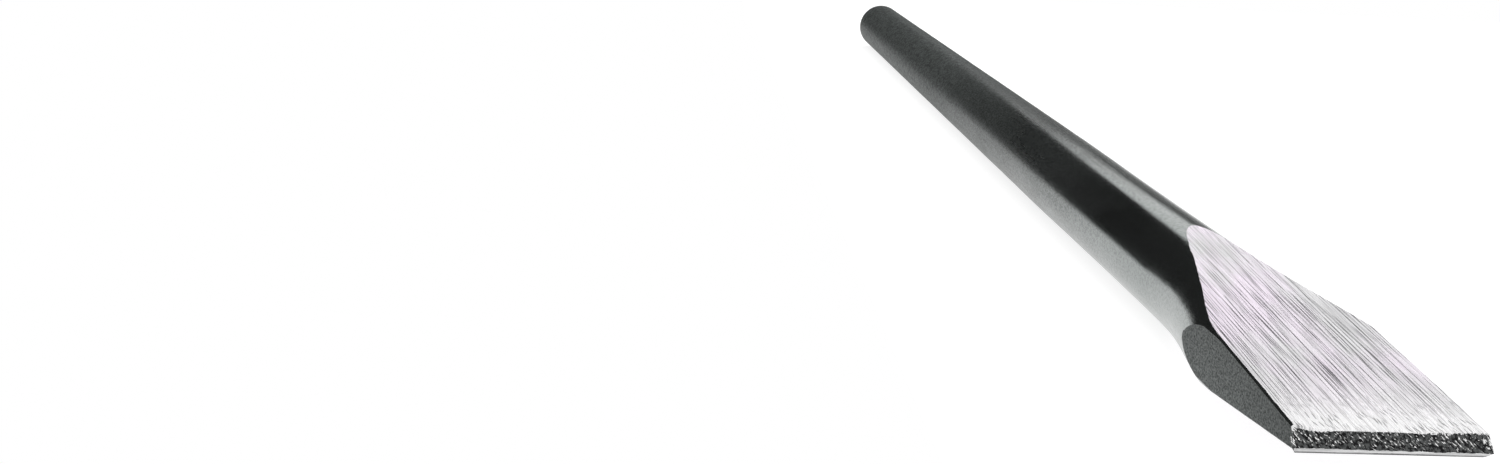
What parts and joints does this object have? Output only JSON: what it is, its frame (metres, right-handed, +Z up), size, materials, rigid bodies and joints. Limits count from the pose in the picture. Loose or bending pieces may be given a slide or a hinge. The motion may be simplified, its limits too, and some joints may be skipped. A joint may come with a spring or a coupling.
{
  "type": "cold chisel",
  "caption": "Forged steel cold chisel: round dark shank, ground wedge blade with flat sides, blunt bevelled cutting edge and chamfered striking head.",
  "frame": {"origin": "middle of the chisel's length, on the surface that the shank lies on", "axes": "+Y along the bar towards the striking head, +X across the blade's width, +Z up through the blade's thickness"},
  "size_m": [0.025, 0.4, 0.018],
  "materials": {
    "forged_steel": "dark oxide skin of the forging, satin with a fine grain",
    "ground_steel": "bright coarse grinding marks along the faces, with finely grained matte sides",
    "bevel_steel": "coarse stippled bevel with bright specks"
  },
  "bodies": {
    "root": {"cutting_edge": "bevel_steel", "blade": "ground_steel", "shank": "forged_steel", "striking_head": "forged_steel"}
  },
  "joints": []
}
